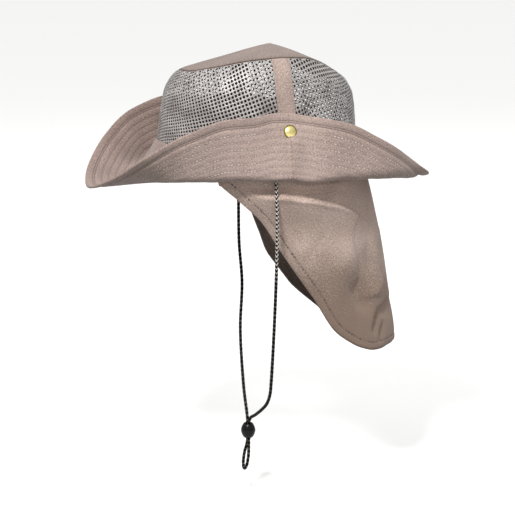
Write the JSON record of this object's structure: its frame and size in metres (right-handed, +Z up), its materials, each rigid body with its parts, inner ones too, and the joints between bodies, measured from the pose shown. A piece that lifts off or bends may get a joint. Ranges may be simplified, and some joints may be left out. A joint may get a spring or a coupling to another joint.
{
  "type": "sun hat",
  "caption": "Wide-brimmed cloth sun hat with a net crown, brim sides folded up to snaps, a hanging neck flap and a chin cord drawn through a bead",
  "frame": {"origin": "the middle of the head opening, at the level of the crown's base line, where the hat sits on a head", "axes": "+Z up, -Y the way the wearer looks, +X the wearer's left"},
  "size_m": [0.1958, 0.3476, 0.4338],
  "materials": {
    "cotton": "matt",
    "net": "satin",
    "snap": "polished",
    "cord": "matt",
    "bead": "gloss"
  },
  "bodies": {
    "root": {"crown_top": "cotton", "crown_net_front": "net", "crown_net_back": "net", "crown_strip_left": "cotton", "crown_strip_right": "cotton", "brim": "cotton", "neck_flap": "cotton", "snap_cap_left": "snap", "snap_cap_right": "snap", "snap_socket_left": "snap", "snap_socket_right": "snap", "chin_cord": "cord", "cord_lock": "bead"}
  },
  "joints": []
}
